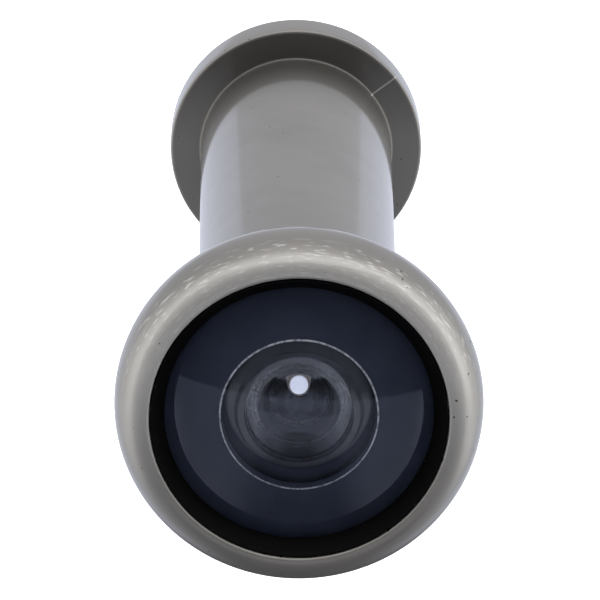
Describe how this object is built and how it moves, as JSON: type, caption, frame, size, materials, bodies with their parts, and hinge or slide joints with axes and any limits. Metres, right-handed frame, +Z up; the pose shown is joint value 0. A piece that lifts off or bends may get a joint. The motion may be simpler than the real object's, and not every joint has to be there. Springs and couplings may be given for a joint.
{
  "type": "door viewer",
  "caption": "Round screw-together door viewer with a large rounded bezel, wide-angle lens train, threaded stem and smooth sleeve with an inner flange.",
  "frame": {"origin": "on the optical axis at the bezel's back face, which sits on the outside of the door", "axes": "+Y along the optical axis from the outside of the door to the room, +Z up, +X to the right as seen from outside"},
  "size_m": [0.0252, 0.0586, 0.0252],
  "materials": {
    "satin_nickel_casting": "satin nickel plated zinc casting with a clear gloss lacquer",
    "black_ring": "satin black enamel on a turned ring",
    "lens_glass": "polished optical glass",
    "seal_rubber": "moulded nitrile rubber",
    "seal_silicone": "moulded pale silicone rubber",
    "bright_ring": "bright nickel plated turned brass",
    "black_cell": "moulded black ABS",
    "brass_ring": "turned brass"
  },
  "bodies": {
    "front_half": {"front_body": "satin_nickel_casting", "lens_retaining_ring": "black_ring", "objective_lens": "lens_glass", "objective_seal": "seal_rubber", "lens_cell": "black_cell", "second_lens": "lens_glass", "lens_spacer": "black_cell", "third_lens": "lens_glass", "cell_lock_ring": "brass_ring"},
    "eyepiece_group": {"eyepiece_lens": "lens_glass", "eyepiece_seal": "seal_silicone"},
    "rear_half": {"rear_body": "satin_nickel_casting", "eyepiece_ring": "bright_ring"}
  },
  "joints": [
    {"name": "rear_travel", "type": "slide", "parent": "front_half", "child": "eyepiece_group", "axis": [0, 1, 0], "range_m": [-0.012, 0.012]},
    {"name": "rear_screw", "type": "hinge", "parent": "eyepiece_group", "child": "rear_half", "pos_m": [0, 0.048, 0], "axis": [0, 1, 0], "range_deg": [-4320, 4320]}
  ],
  "couplings": [
    {"joint": "rear_travel", "follows": "rear_screw", "m_per_rad": 0.00015915}
  ]
}
